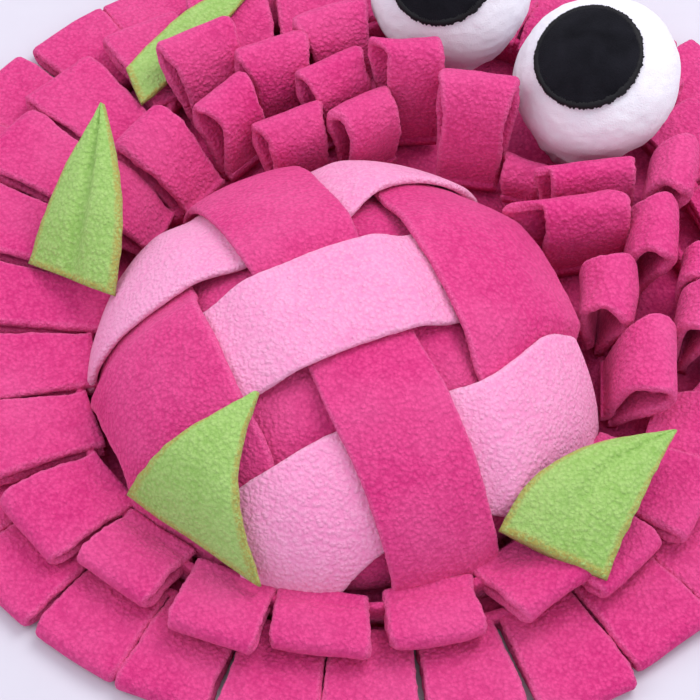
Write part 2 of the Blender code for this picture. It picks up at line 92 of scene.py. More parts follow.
# From angle, to angle, least radius of a root
UPPER_LIMITS = (
    (-100.0, -80.0, 146.0),
    (-80.0, 30.0, 159.5),
    (30.0, 72.0, 141.0),
    (72.0, 113.0, 121.0),
)
FOLD_HEIGHT = 9.8
UPPER_LEG_Z = 12.8
UPPER_DIP = 2.5
UPPER_STRAYS = {  # tab: degrees turned, mm raised, mm aside, how much wider
    9: (3.0, 1.0, 0.0, 1.0),
    13: (0.0, 0.5, 2.0, 1.03),
    14: (-2.0, 1.5, 1.0, 1.08),
    15: (1.0, 2.0, 8.0, 1.06),
    16: (12.0, 5.0, 9.0, 0.96),
    17: (5.0, 0.0, 5.0, 1.0),
    18: (2.0, 1.0, 2.0, 0.97),
}

# Dome and weave
DOME_X = 16.0
DOME_Y = -45.0
DOME_BASE = 10.0
DOME_RADIUS = 99.5
DOME_RISE = 59.5
DOME_FOOT_RADIUS = 90.0
WEAVE_TURN = 51.0
WEAVE_THICK = 3.4
WEAVE_LOW = 3.3
WEAVE_HIGH = 8.1
WEAVE_SIDES = ((-98.0, -54.0), (-25.0, 24.5), (38.0, 95.0))
WEAVE_CROSS = ((-104.0, -54.5), (-28.5, 20.0), (39.5, 95.0))
WEAVE_STATIONS = 170
WEAVE_COLUMNS = 16
WEAVE_FRAY = 0.5
# Where a strip ends, backward and forward; the others run to the dome's foot
WEAVE_ENDS = {"weave_pale_middle": (96.0, 98.0), "weave_pale_front": (76.0, 87.0)}
# An edge that strays: strip, which edge, from, to, shift
WEAVE_STRAYS = ((2, 0, -5.0, 62.0, 21.0), (0, 1, 30.0, 95.0, 19.0))
PALE_OVER = ((True, False, True), (False, True, False), (True, False, True))

# Eyes
EYE_RADIUS = 37.4
EYE_DEPTH = 26.0
EYE_NECK = 13.0
EYE_SEGMENTS = 192
EYE_STEPS = 80
EYE_START = -62.0  # tilt of the ball's lowest ring, degrees
EYE_BACK_DEPTH = 0.9
EYE_BACK_FULLNESS = 0.66
EYE_GATHERS = 13
EYE_LUMPS = ((34.0, 1.2), (13.0, 0.5), (3.2, 0.3))
# Centre x, y and z, foot x and y, gaze
EYES = {
    "right": (48.0, 133.0, 46.0, 45.0, 126.0, (-0.09, -0.36, 0.93)),
    "left": (-32.0, 148.0, 50.5, -31.0, 131.0, (0.0, -0.5, 0.87)),
}
PUPIL_WIDE = 23.0
PUPIL_TALL = 23.5
PUPIL_LIFT = 2.1
PUPIL_UNDER = 0.4
BORDER_STITCHES = 150
BORDER_REACH = 1.3
BORDER_LIFT = 1.6

# Standing loops: root x, root y, heading, width, reach, rise, opening, lean to the left
LOOP_ROOT_Z = 7.0
LOOP_PINCH = 7.0
HEAD_LOOPS = {
    "loops_crown": (
        (-57, 48, 143, 31, 18, 23, 10, 0),
        (-36, 69, 150, 31, 15, 28, 12, 0),
    ),
    "loops_brow": ((10, 83.5, 109, 34, 25, 41, 12, 0),),
    "loops_left_inner": (
        (-85, 43, 163, 28, 22, 25, 12, 0),
        (-78.5, 74.5, 140, 31, 24, 25, 11, 0),
        (-51, 80, 147, 32, 21, 27, 11, 0),
    ),
    "loops_left_outer": (
        (-107, 64, 150, 35, 27, 26, 9, 0),
        (-64, 104, 138, 31, 23, 27, 11, 0),
        (-25, 96, 118, 29, 16, 45, 9, 6),
    ),
    "loops_cheek": (
        (72, 66.5, 127, 44, 12, 30, 10, 13),
        (99, 35.5, 22, 33, 19, 22, 16, 0),
    ),
    "loops_right_inner": (
        (37, 86, 97, 20, 10, 12, 7, 0),
        (66, 88.5, 127, 44, 8, 30, 6, 3),
        (99.5, 71, 23, 35, 19, 25, 11, 0),
        (118.5, 5, 25, 36, 27, 21, 12, 0),
    ),
    "loops_right_outer": (
        (94.5, 106, 17, 29, 18, 26, 11, 0),
        (130.5, 66, 14, 22, 12, 25, 9, 0),
        (135.5, 42.5, 15, 29, 18, 23, 10, 0),
    ),
    "loops_left_side": (
        (-90, 14, 172, 30, 36, 22, 9, 0),
        (-96, -13, 188, 31, 36, 17, 9, 0),
    ),
}

# Leaves: base left, base right, tip, side bulges, bow, thickness, crease depth
LEAVES = {
    "leaf_left": ((-131, -60, 22), (-83, -67, 38), (-130, 6, 63), (1, 10), 3, 9, 3.6),
    "leaf_front": ((-32, -143, 25.5), (37, -156, 27.5), (6, -99, 70.5), (2, -3), 13.5, 8, 0.0),
    "leaf_right": ((110, -91, 31.5), (157, -88, 25.8), (155, -17, 38), (14, -1), 8, 11, 2.5),
    "leaf_head_left": ((-150, 54, 24), (-133, 39, 24), (-122, 130, 27), (8, 4), 0, 5, 0.0),
    "leaf_head_right": ((157, 30, 25.4), (165, 52, 25.4), (147, 108, 35), (8, 8), 2, 8, 0.0),
}

# Colours, scene linear, each with the deep and the light tone of its pile; the light tone also
# paints the highlight on the fleece's cut edges
HOT_PINK = (0.80, 0.066, 0.27)
HOT_PINK_DEEP = (0.56, 0.025, 0.17)
HOT_PINK_LIGHT = (0.93, 0.22, 0.47)
LIGHT_PINK = (0.92, 0.37, 0.61)
LIGHT_PINK_DEEP = (0.84, 0.25, 0.50)
LIGHT_PINK_LIGHT = (0.97, 0.56, 0.78)
GREEN = (0.40, 0.62, 0.19)
GREEN_DEEP = (0.25, 0.46, 0.10)
GREEN_LIGHT = (0.54, 0.72, 0.30)
SEAM_GREEN = (0.40, 0.36, 0.09)
WHITE = (0.88, 0.87, 0.93)
WHITE_DEEP = (0.79, 0.78, 0.86)
BLACK = (0.012, 0.012, 0.017)
BLACK_DEEP = (0.003, 0.003, 0.005)
SATIN = (0.004, 0.004, 0.006)
FLOOR = (0.65, 0.635, 0.71)
FLOOR_DEEP = (0.62, 0.605, 0.68)

# Light
ROOM_COLOUR = (0.93, 0.92, 1.0, 1.0)
ROOM_STRENGTH = 0.84
# Azimuth, elevation, distance, size, watts, colour
SOFTBOXES = {
    "key_softbox": (160.0, 60.0, 1400.0, 900.0, 10.2, (1.0, 0.98, 0.985)),
    "left_softbox": (-62.0, 48.0, 1600.0, 1200.0, 5.0, (0.97, 0.96, 1.0)),
    "right_softbox": (75.0, 38.0, 1600.0, 1200.0, 2.2, (1.0, 0.98, 0.98)),
}


# Materials


class Nodes:
    """Builds a material's node tree with short calls."""

    def __init__(self, name, material=None):
        self.material = material or bpy.data.materials.new(name)
        self.material.use_nodes = True
        self.tree = self.material.node_tree
        self.shader = self.tree.nodes["Principled BSDF"]
        self.place = self.tree.nodes.new("ShaderNodeTexCoord").outputs["Object"]

    def link(self, output, target):
        self.tree.links.new(output, target)

    def set(self, **values):
        for name, value in values.items():
            self.shader.inputs[name.replace("_", " ")].default_value = value

    def noise(self, scale, detail, rough, warp=0.0):
        node = self.tree.nodes.new("ShaderNodeTexNoise")
        node.inputs["Scale"].default_value = scale
        node.inputs["Detail"].default_value = detail
        node.inputs["Roughness"].default_value = rough
        node.inputs["Distortion"].default_value = warp
        self.link(self.place, node.inputs["Vector"])
        return node.outputs["Fac"]

    def cells(self, scale, smooth, place):
        node = self.tree.nodes.new("ShaderNodeTexVoronoi")
        node.feature = "SMOOTH_F1"
        node.inputs["Scale"].default_value = scale
        node.inputs["Smoothness"].default_value = smooth
        self.link(place, node.inputs["Vector"])
        return node.outputs["Distance"]

    def warped(self, scale, amount):
        """The place, pushed about by a noise, in metres."""
        push = self.tree.nodes.new("ShaderNodeTexNoise")
        push.inputs["Scale"].default_value = scale
        push.inputs["Detail"].default_value = 2.0
        self.link(self.place, push.inputs["Vector"])
        spread = self.tree.nodes.new("ShaderNodeVectorMath")
        spread.operation = "MULTIPLY_ADD"
        spread.inputs[1].default_value = (amount, amount, amount)
        self.link(push.outputs["Color"], spread.inputs[0])
        self.link(self.place, spread.inputs[2])
        return spread.outputs["Vector"]

    def math(self, operation, first, second):
        node = self.tree.nodes.new("ShaderNodeMath")
        node.operation = operation
        for socket, value in zip(node.inputs, (first, second)):
            if isinstance(value, (int, float)):
                socket.default_value = value
            else:
                self.link(value, socket)
        return node.outputs["Value"]

    def span(self, value, low, high, start=0.0, end=1.0):
        node = self.tree.nodes.new("ShaderNodeMapRange")
        numbers = {"From Min": low, "From Max": high, "To Min": start, "To Max": end}
        for socket, number in numbers.items():
            node.inputs[socket].default_value = number
        self.link(value, node.inputs["Value"])
        return node.outputs["Result"]

    def mix(self, factor, first, second):
        node = self.tree.nodes.new("ShaderNodeMix")
        node.data_type = "RGBA"
        self.link(factor, node.inputs["Factor"])
        for socket, value in ((node.inputs[6], first), (node.inputs[7], second)):
            if isinstance(value, tuple):
                socket.default_value = (*value, 1.0)
            else:
                self.link(value, socket)
        return node.outputs[2]

    def paint(self, colour):
        self.link(colour, self.shader.inputs["Base Color"])

    def attribute(self, name):
        node = self.tree.nodes.new("ShaderNodeAttribute")
        node.attribute_name = name
        return node.outputs["Fac"]

    def bump(self, height, strength, distance):
        node = self.tree.nodes.new("ShaderNodeBump")
        node.inputs["Strength"].default_value = strength
        node.inputs["Distance"].default_value = distance
        self.link(height, node.inputs["Height"])
        self.link(node.outputs["Normal"], self.shader.inputs["Normal"])


def shade(colour, amount):
    return tuple(min(1.0, channel * amount) for channel in colour)


def fleece(name, colour, deep, light):
    """Polar fleece: soft pebbles about 2 mm across, a fine grain, and a painted highlight on the cut
    edges, which are lightened towards the light tone where their fuzz catches the light.
    """
    nodes = Nodes(name)
    place = nodes.warped(420.0, 0.0012)
    pebbles = nodes.span(nodes.cells(540.0, 0.25, place), 0.1, 0.75, 1.0, 0.0)
    grain = nodes.noise(780.0, 4.0, 0.62)
    lumps = nodes.noise(190.0, 2.0, 0.5)
    nap = nodes.noise(2100.0, 2.0, 0.6)
    height = nodes.math("MULTIPLY", pebbles, 0.6)
    height = nodes.math("ADD", height, nodes.math("MULTIPLY", grain, 0.8))
    height = nodes.math("ADD", height, nodes.math("MULTIPLY", lumps, 0.5))
    broad = nodes.noise(24.0, 2.0, 0.5)
    tone = nodes.math("MULTIPLY", height, 0.5)
    tone = nodes.math("ADD", tone, nodes.math("MULTIPLY", nap, 0.45))
    tone = nodes.span(tone, 0.50, 0.88)
    body = nodes.mix(tone, deep, colour)
    body = nodes.mix(nodes.span(broad, 0.35, 0.7, 0.0, 0.2), body, light)
    # Painted highlight: the cut edges are mixed towards the light tone, standing in for the light
    # that their fuzz catches.
    edge = nodes.math("MULTIPLY", nodes.attribute("cut"), nodes.span(nap, 0.35, 0.65, 0.0, 0.38))
    body = nodes.mix(edge, body, light)
    nodes.paint(body)
    nodes.set(Roughness=0.96, Sheen_Weight=0.5, Sheen_Roughness=0.45, Specular_IOR_Level=0.1)
    nodes.shader.inputs["Sheen Tint"].default_value = (*light, 1.0)
    nodes.bump(height, 0.85, 0.0012)
    return nodes.material


def stitched_fleece(name, colour, deep, light, thread):
    """Fleece whose edges are overlocked with a ragged brownish thread."""
    material = fleece(name, colour, deep, light)
    tree = material.node_tree
    shader = tree.nodes["Principled BSDF"]
    body = shader.inputs["Base Color"].links[0].from_socket
    nodes = Nodes(name, material)
    ragged = nodes.span(nodes.noise(800.0, 3.0, 0.7), 0.34, 0.54)
    seam = nodes.math("MULTIPLY", nodes.attribute("seam"), ragged)
    nodes.paint(nodes.mix(seam, body, thread))
    return material


def plush(name, colour, deep, sheen):
    """Short dense plush, with a fine nap that lies in soft patches."""
    nodes = Nodes(name)
    nap = nodes.noise(1500.0, 3.0, 0.6)
    patches = nodes.noise(75.0, 3.0, 0.5, 0.4)
    height = nodes.math("MULTIPLY", nap, 0.35)
    height = nodes.math("ADD", height, nodes.math("MULTIPLY", patches, 0.6))
    nodes.paint(nodes.mix(nodes.span(height, 0.3, 0.7), deep, colour))
    nodes.set(Roughness=0.9, Sheen_Weight=sheen, Sheen_Roughness=0.4, Specular_IOR_Level=0.1)
    nodes.bump(height, 0.7, 0.0016)
    return nodes.material


def satin(name, colour):
    """Close satin stitches of shiny thread."""
    nodes = Nodes(name)
    twist = nodes.noise(900.0, 2.0, 0.5)
    nodes.paint(nodes.mix(twist, shade(colour, 0.6), shade(colour, 1.6)))
    nodes.set(Roughness=0.6, Specular_IOR_Level=0.25)
    nodes.bump(twist, 0.25, 0.0004)
    return nodes.material


def paper(name):
    nodes = Nodes(name)
    grain = nodes.noise(60.0, 3.0, 0.5)
    nodes.paint(nodes.mix(grain, FLOOR_DEEP, FLOOR))
    nodes.set(Roughness=0.85, Specular_IOR_Level=0.2)
    return nodes.material


# Meshes


class Skin:
    """Points and faces of one piece, in millimetres, with how far each point is a cut edge."""

    def __init__(self):
        self.points = []
        self.faces = []
        self.cut = []

    def point(self, place, cut=0.0):
        self.points.append(place)
        self.cut.append(cut)
        return len(self.points) - 1

    def rings(self, rings, closed=False):
        last = len(rings) if closed else len(rings) - 1
        for i in range(last):
            here = rings[i]
            there = rings[(i + 1) % len(rings)]
            for j in range(len(here)):
                k = (j + 1) % len(here)
                self.faces.append((here[j], here[k], there[k], there[j]))

    def cap(self, ring, turned=False):
        """Closes a ring whose first half lies over its second half."""
        half = len(ring) // 2
        for j in range(half - 1):
            face = (ring[j], ring[j + 1], ring[-j - 2], ring[-j - 1])
            self.faces.append(tuple(reversed(face)) if turned else face)

    def fan(self, ring, place, turned=False):
        middle = self.point(place)
        for j in range(len(ring)):
            face = (ring[j], ring[(j + 1) % len(ring)], middle)
            self.faces.append(tuple(reversed(face)) if turned else face)


def lump(place, scale, seed=0.0):
    """Smooth noise from about -1 to 1; scale is the size of a lump in millimetres."""
    return noise.noise(Vector(place) / scale + Vector((seed, -seed, 0.5 * seed)))


def face_outward(mesh):
    """Turns the faces of each closed part of a mesh round where they look inward."""
    whole = bmesh.new()
    whole.from_mesh(mesh)
    seen = set()
    for first in whole.faces:
        if first.index in seen:
            continue
        seen.add(first.index)
        part = [first]
        for face in part:
            for edge in face.edges:
                for beside in edge.link_faces:
                    if beside.index not in seen:
                        seen.add(beside.index)
                        part.append(beside)
        volume = 0.0
        for face in part:
            volume += face.normal.dot(face.calc_center_median()) * face.calc_area()
        if volume < 0:
            for face in part:
                face.normal_flip()
    whole.to_mesh(mesh)
    whole.free()


def make_piece(name, skin, material, replaced, lumps=((28.0, 1.0), (9.0, 0.38))):
    """The skin as an object, roughened along its normals by lumps of a size and height."""
    mesh = bpy.data.meshes.new(name)
    points = [tuple(point * MM for point in place) for place in skin.points]
    mesh.from_pydata(points, [], skin.faces)
    mesh.update()
    pushed = []
    for vertex in mesh.vertices:
        place = Vector(vertex.co) / MM
        push = sum(height * lump(place, size, size) for size, height in lumps)
        pushed.append(vertex.co + vertex.normal * (push * MM))
    for vertex, place in zip(mesh.vertices, pushed):
        vertex.co = (place.x, place.y, max(place.z, 0.0))
    mesh.update()
    face_outward(mesh)
    marks = mesh.attributes.new("cut", "FLOAT", "POINT")
    marks.data.foreach_set("value", skin.cut)
    mesh.materials.append(material)
    for polygon in mesh.polygons:
        polygon.use_smooth = True
    mesh.update()
    piece = bpy.data.objects.new(name, mesh)
    bpy.context.scene.collection.objects.link(piece)
    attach(piece, "root")
    if replaced:
        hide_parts(*replaced)
    return piece


def polar(radius, angle):
    """A point at this distance from the mat's centre, degrees anticlockwise from +Y."""
    turn = math.radians(angle)
    return Vector((-radius * math.sin(turn), radius * math.cos(turn), 0.0))


def smooth_step(x):
    x = max(0.0, min(1.0, x))
    return x * x * (3 - 2 * x)


def edge_section(thick):
    """The half-round cut edge of a cloth: (outward, upward) from top to bottom."""
    turns = [math.pi / 2 - math.pi * k / (2 * EDGE_STEPS) for k in range(1, 2 * EDGE_STEPS)]
    return [(thick / 2 * math.cos(turn), thick / 2 * math.sin(turn)) for turn in turns]


def cloth_section(half_width, thick, columns):
    """(sideways, upward, cut) round a cloth with rounded edges, over the top and back below."""
    flat = half_width - thick / 2
    across = [flat * (2 * j / columns - 1) for j in range(columns + 1)]
    top = [(x, thick / 2, 0.0) for x in across]
    right = [(flat + x, z, 1.0) for x, z in edge_section(thick)]
    bottom = [(x, -thick / 2, 0.0) for x in reversed(across)]
    left = [(-flat - x, z, 1.0) for x, z in reversed(edge_section(thick))]
    return top + right + bottom + left


def smoothed(line, rounds):
    """Cuts a line's corners, and keeps its ends."""
    for _ in range(rounds):
        cut = [line[0]]
        for here, there in zip(line, line[1:]):
            cut += [here.lerp(there, 0.25), here.lerp(there, 0.75)]
        line = cut + [line[-1]]
    return line


def evenly(line, count):
    """The line again, as points an equal way apart."""
    marks = [0.0]
    for here, there in zip(line, line[1:]):
        marks.append(marks[-1] + (there - here).length)
    places = []
    at = 0
    for k in range(count):
        want = marks[-1] * k / (count - 1)
        while at < len(line) - 2 and marks[at + 1] < want:
            at += 1
        share = (want - marks[at]) / max(1e-9, marks[at + 1] - marks[at])
        places.append(line[at].lerp(line[at + 1], share))
    return places, marks[-1]


def fold_line(reach, leg, opening, pinch, puff=0.0, tuck=ROOT_TUCK):
    """Centre line of a folded strip in its own plane, as its solid's, but with a puffed top leg."""
    apart = opening + SOLID_FLEECE
    end = reach - apart / 2
    slope = math.atan2(leg(1.0) - leg(0.9), 0.1 * end)
    along = Vector((math.cos(slope), math.sin(slope)))
    across = Vector((-along.y, along.x))
    line = [Vector((-tuck, leg(0.0)))]
    line += [Vector((end * k / 8, leg(k / 8))) for k in range(8)]
    hinge = Vector((end, leg(1.0))) + across * (apart / 2)
    for k in range(9):
        turn = math.pi * (k / 8 - 0.5)
        onward = along * (apart / 2 * math.cos(turn))
        line.append(hinge + onward + across * (apart / 2 * math.sin(turn)))
    for k in range(9, -1, -1):
        s = k / 10
        lift = pinch + (apart - pinch) * math.sin(math.pi / 2 * min(1.0, 1.25 * s))
        line.append(Vector((end * s, leg(s))) + across * (lift + puff * math.sin(math.pi * s)))
    line.append(line[-1] - Vector((tuck, 0.0)))
    return line


def soft_strip(
    skin,
    root,
    heading,
    line,
    width_at,
    rng,
    columns=8,
    stations=64,
    slack=1.0,
    lean=0.0,
    thick=RIM_FLEECE,
    corner=CORNER,
):
    """A strip of fleece on a fold line, moved by what it is thicker than its solid.

    Returns its flat length and mean width.
    """
    places, length = evenly(smoothed(line, 2), stations)
    tip = max(place.x for place in places)
    turn = math.radians(heading)
    out = Vector((math.cos(turn), math.sin(turn), 0.0))
    side = Vector((-out.y, out.x, 0.0))
    up = Vector((0.0, 0.0, 1.0))
    inset = (thick - SOLID_FLEECE) / 2
    seed = rng.uniform(0.0, 90.0)
    twist = rng.uniform(-0.045, 0.045) * slack
    sway = rng.uniform(-1.8, 1.8) * slack
    flare = rng.uniform(-0.03, 0.05) * slack
    bow = rng.uniform(-0.6, 1.4) * slack
    rings = []
    for i, place in enumerate(places):
        before = places[max(i - 1, 0)]
        after = places[min(i + 1, stations - 1)]
        along = (after - before).normalized()
        normal = Vector((-along.y, along.x))
        share = i / (stations - 1)
        loose = math.sin(math.pi * share)
        rounded = 1 - corner * smooth_step((place.x / tip - 0.82) / 0.18)
        vary = 1 + flare * loose + 0.02 * lump((share * 60, seed, 0), 9.0)
        width = rounded * width_at(place.x) * vary
        middle = sway * loose + lean * max(0.0, place.x) / tip
        ring = []
        for across, above, cut in cloth_section(width / 2, thick, columns):
            aside = 2 * across / width
            cup = 0.9 * slack * loose * lump((seed, 0, 0), 1.3) * (aside * aside - 0.3)
            wave = CUT_WAVE * cut * lump((share * length, seed, 3 * above), 2.3)
            wave += SIDE_WAVE * aside * loose * lump((share * length, seed, aside), 14.0)
            soften = bow * loose * (0.3 - aside * aside)
            flat = place + normal * (inset + above + cup)
            spot = root + out * (flat.x + soften) + up * flat.y + side * (across + middle + wave)
            spot += up * (twist * across * loose)
            ring.append(skin.point(spot, cut))
        rings.append(ring)
    skin.rings(rings)
    end_cap(skin, rings[0], columns, True)
    end_cap(skin, rings[-1], columns, False)
    return length, sum(width_at(place.x) for place in places) / stations


def end_cap(skin, ring, columns, turned):
    """Closes the end of a cloth, whose ring runs over the top and back below."""
    top = ring[: columns + 1]
    rest = ring[columns + 1 :]
    after = EDGE_POINTS + columns + 1
    right = rest[:EDGE_POINTS]
    bottom = list(reversed(rest[EDGE_POINTS:after]))
    left = rest[after:]
    faces = [(top[j], bottom[j], bottom[j + 1], top[j + 1]) for j in range(columns)]
    faces.append((top[-1], bottom[-1], *reversed(right)))
    faces.append((bottom[0], top[0], *reversed(left)))
    for face in faces:
        skin.faces.append(face if turned else tuple(reversed(face)))


def soft_band(skin, points, low, highs, closed):
    """The root band that a row is sewn into, with rounded top edges."""
    rings = []
    count = len(points)
    half = BAND_THICK / 2
    for i, point in enumerate(points):
        before = points[(i - 1) % count] if closed else points[max(i - 1, 0)]
        after = points[(i + 1) % count] if closed else points[min(i + 1, count - 1)]
        along = (after - before).normalized()
        across = Vector((-along.y, along.x, 0.0))
        high = highs[i]
        right = ((1, low), (1, high - 1.2), (0.6, high))
        section = ((-1, low), *right, (-0.6, high), (-1, high - 1.2))
        ring = []
        for sideways, z in section:
            spot = Vector((point.x, point.y, z)) + across * (sideways * half)
            ring.append(skin.point(spot))
        rings.append(ring)
    skin.rings(rings, closed)
    if not closed:
        skin.faces.append(tuple(reversed(rings[0])))
        skin.faces.append(tuple(rings[-1]))


# Rim


def pitch_width(count, root_radius, crevice=TAB_CREVICE, widest=TAB_WIDTH):
    """The width of a rim strip at a distance from its root: its share of the row's circle."""

    def width_at(x):
        share = 2 * math.pi * (root_radius + max(x, 0.0)) / count
        return min(widest, share - crevice * (1 + 0.02 * share))

    return width_at


def dress_lower_rim(material):
    rng = random.Random(11)
    soft = random.Random(101)
    root_radius = RIM_BAND_INNER + BAND_THICK / 2
    skin = Skin()
    for k in range(LOWER_COUNT):
        angle = LOWER_PHASE + 360.0 * k / LOWER_COUNT
        reach = LOWER_TIP - root_radius + rng.uniform(-4.0, 4.0)
        opening = FOLD_HEIGHT - 2 * SOLID_FLEECE - rng.uniform(0.0, 0.6)
        puff = soft.uniform(0.4, 1.6)
        line = fold_line(reach, lambda s: SOLID_FLEECE / 2, opening, opening + SOLID_FLEECE, puff)
        root = polar(root_radius + 1.2, angle)
        width = pitch_width(LOWER_COUNT, root_radius, LOWER_TAB_CREVICE, LOWER_TAB_WIDTH)
        shrink = (1.0 + rng.uniform(0.93, 1.0)) / 2
        heading = angle + 90.0 + rng.uniform(-1.0, 1.0)
        heading += soft.uniform(-1.5, 1.5)
        soft_strip(
                skin,
                root,
                heading,
                line,
                lambda x: width(x) * shrink,
                soft,
                slack=0.8,
                corner=LOWER_CORNER,
            )
    points = []
    for k in range(4 * LOWER_COUNT):
        points.append(polar(root_radius, LOWER_PHASE + 90.0 * k / LOWER_COUNT))
    soft_band(skin, points, 0.3, [FOLD_HEIGHT - 0.3] * len(points), True)
    piece = make_piece("lower_rim_strips", skin, material, ["rim_lower"])


def upper_root(tip, out, angle):
    dome = Vector((DOME_X, DOME_Y, 0.0))
    turned = (angle + 180.0) % 360.0 - 180.0
    least = 0.0
    for first, last, radius in UPPER_LIMITS:
        if first <= turned < last:
            least = radius
    root = tip.copy()
    while root.length > least and (root - dome).length > UPPER_ROOT_TO_DOME:
        root -= out * 0.5
    return root


def dress_upper_rim(material):
    rng = random.Random(5)
    soft = random.Random(102)
    fan = Vector((DOME_X, DOME_Y, 0.0)) * UPPER_FAN
    skin = Skin()
    roots = []
    highs = []
    for k in range(UPPER_COUNT):
        angle = UPPER_PHASE + 360.0 * k / UPPER_COUNT
        tip = polar(UPPER_TIP + rng.uniform(-3.0, 4.0), angle)
        out = (tip - fan).normalized()
        heading = math.degrees(math.atan2(out.y, out.x))
        root = upper_root(tip, out, angle)
        root_radius = root.length
        reach = (tip - root).length
        inner = max(0.0, min(1.0, (RIM_BAND_INNER - 4.0 - root_radius) / reach))
        dip = UPPER_DIP * min(1.0, inner * 2)
        lift = rng.uniform(0.5, 3.5)
        stray = soft.uniform(-2.5, 2.5)
        turned, raised, aside, wider = UPPER_STRAYS.get(k, (stray, 0.0, 0.0, 1.0))
        shifted = root + Vector((-out.y, out.x, 0.0)) * aside
        heading += turned
        lift += raised

        def leg(s):
            if s < inner:
                return UPPER_LEG_Z - dip * (1 - s / inner)
            return UPPER_LEG_Z + lift * (s - inner) / (1 - inner)

        opening = FOLD_HEIGHT - 2 * SOLID_FLEECE
        puff = soft.uniform(0.8, 2.4)
        line = fold_line(reach, leg, opening, opening + SOLID_FLEECE, puff, UPPER_TUCK)
        width = pitch_width(UPPER_COUNT, root_radius)
        shrink = rng.uniform(0.92, 0.97) * wider
        soft_strip(
                skin,
                shifted,
                heading,
                line,
                lambda x: width(x) * shrink,
                soft,
                lean=soft.uniform(-2.0, 2.0),
            )
        roots.append(root)
        highs.append(leg(0.0) + FOLD_HEIGHT - SOLID_FLEECE - 0.5)
    points = []
    tops = []
    for k in range(UPPER_COUNT):
        after = (k + 1) % UPPER_COUNT
        points += [roots[k], (roots[k] + roots[after]) / 2]
        tops += [highs[k], min(highs[k], highs[after])]
    soft_band(skin, points, BACKING_THICK + 0.4, tops, True)
    piece = make_piece("upper_rim_strips", skin, material, ["rim_upper"])


# Head loops


def dress_loops(material):
    soft = random.Random(103)
    for name, loops in HEAD_LOOPS.items():
        skin = Skin()
        roots = []
        for x, y, heading, width, reach, rise, opening, lean in loops:
            root = Vector((x, y, 0.0))
            roots.append((root, heading, width))

            def leg(s):
                return LOOP_ROOT_Z + rise * (0.5 * s + 0.5 * math.sin(math.pi / 2 * s))

            def width_at(x):
                return (width + 2.4) * (0.78 + 0.22 * min(1.0, max(0.0, x) / (0.5 * reach)))

            line = fold_line(reach, leg, opening, LOOP_PINCH, 1.0)
            soft_strip(
                    skin,
                    root,
                    heading,
                    line,
                    width_at,
                    soft,
                    columns=10,
                    stations=72,
                    slack=1.2,
                    lean=lean,
                    thick=LOOP_FLEECE,
                )
        run = roots[-1][0] - roots[0][0]
        points = []
        for root, heading, width in roots:
            side = polar(1.0, heading)
            if side.dot(run) < 0:
                side = -side
            points += [root - side * (width * 0.36), root + side * (width * 0.36)]
        tops = [LOOP_ROOT_Z + LOOP_PINCH - 0.5] * len(points)
        soft_band(skin, points, BACKING_THICK + 0.4, tops, False)
        piece = make_piece("soft_" + name, skin, material, [name])


# Backing, dome and weave


def lathe(skin, profile, centre, segments):
    """A turned form; the profile runs from the underside's rim to a point on top."""
    rings = []
    for radius, z in profile[:-1]:
        turns = [2 * math.pi * k / segments for k in range(segments)]
        ring = []
        for turn in turns:
            x = centre[0] + radius * math.cos(turn)
            y = centre[1] + radius * math.sin(turn)
            ring.append(skin.point(Vector((x, y, z))))
        rings.append(ring)
    skin.rings(rings)
    skin.fan(rings[0], Vector((centre[0], centre[1], profile[0][1])), True)
    skin.fan(rings[-1], Vector((centre[0], centre[1], profile[-1][1])))


def dress_backing(material):
    skin = Skin()
    radii = [BACKING_RADIUS * k / 20 for k in range(1, 20)]
    under = [(radius, 0.35) for radius in radii]
    inner = BACKING_RADIUS - 0.9
    rim = [(inner, 0.2), (BACKING_RADIUS, 1.2), (inner, BACKING_THICK - 0.2)]
    over = [(radius, BACKING_THICK) for radius in reversed(radii)]
    lathe(skin, under + rim + over + [(0.0, BACKING_THICK)], (0.0, 0.0), 96)
    lumps = ((40.0, 0.3),)
    piece = make_piece("round_backing", skin, material, ["backing"], lumps)


def dress_dome(material):
    skin = Skin()
    profile = [(DOME_FOOT_RADIUS * k / 8, BACKING_THICK + 0.4) for k in range(1, 8)]
    profile.append((DOME_FOOT_RADIUS - 5.0, BACKING_THICK + 0.4))
    profile.append((DOME_FOOT_RADIUS + 3.0, BACKING_THICK + 2.4))
    rings = 36
    for k in range(rings):
        rise = math.pi / 2 * k / rings
        profile.append((DOME_RADIUS * math.cos(rise), DOME_BASE + DOME_RISE * math.sin(rise)))
    profile.append((0.0, DOME_BASE + DOME_RISE))
    lathe(skin, profile, (DOME_X, DOME_Y), 120)
    lumps = ((45.0, 0.8), (10.0, 0.3))
    piece = make_piece("padded_dome", skin, material, ["dome_cushion"], lumps)


def weave_height(along, crossed, overs):
    """A strip's height over the dome at this place along it, over or under those it meets."""
    levels = [WEAVE_HIGH if over else WEAVE_LOW for over in overs]
    height = levels[0]
    for k in range(2):
        start = crossed[k][1] + 1.0
        end = crossed[k + 1][0] - 1.0
        height += (levels[k + 1] - levels[k]) * smooth_step((along - start) / (end - start))
    return height


def pale_edges(i, along):
    """Both edges of a pale strip at this place along it."""
    edges = list(WEAVE_SIDES[i])
    for strip, which, start, end, shift in WEAVE_STRAYS:
        if strip == i:
            edges[which] += shift * smooth_step((along - start) / (end - start))
    return edges


def pink_edges(i, along):
    """Both edges of a hot pink strip, of which the middle one widens downhill."""
    low, high = WEAVE_CROSS[i]
    if i == 1:
        low += 0.05 * along
        high += 0.03 * along
    return low, high


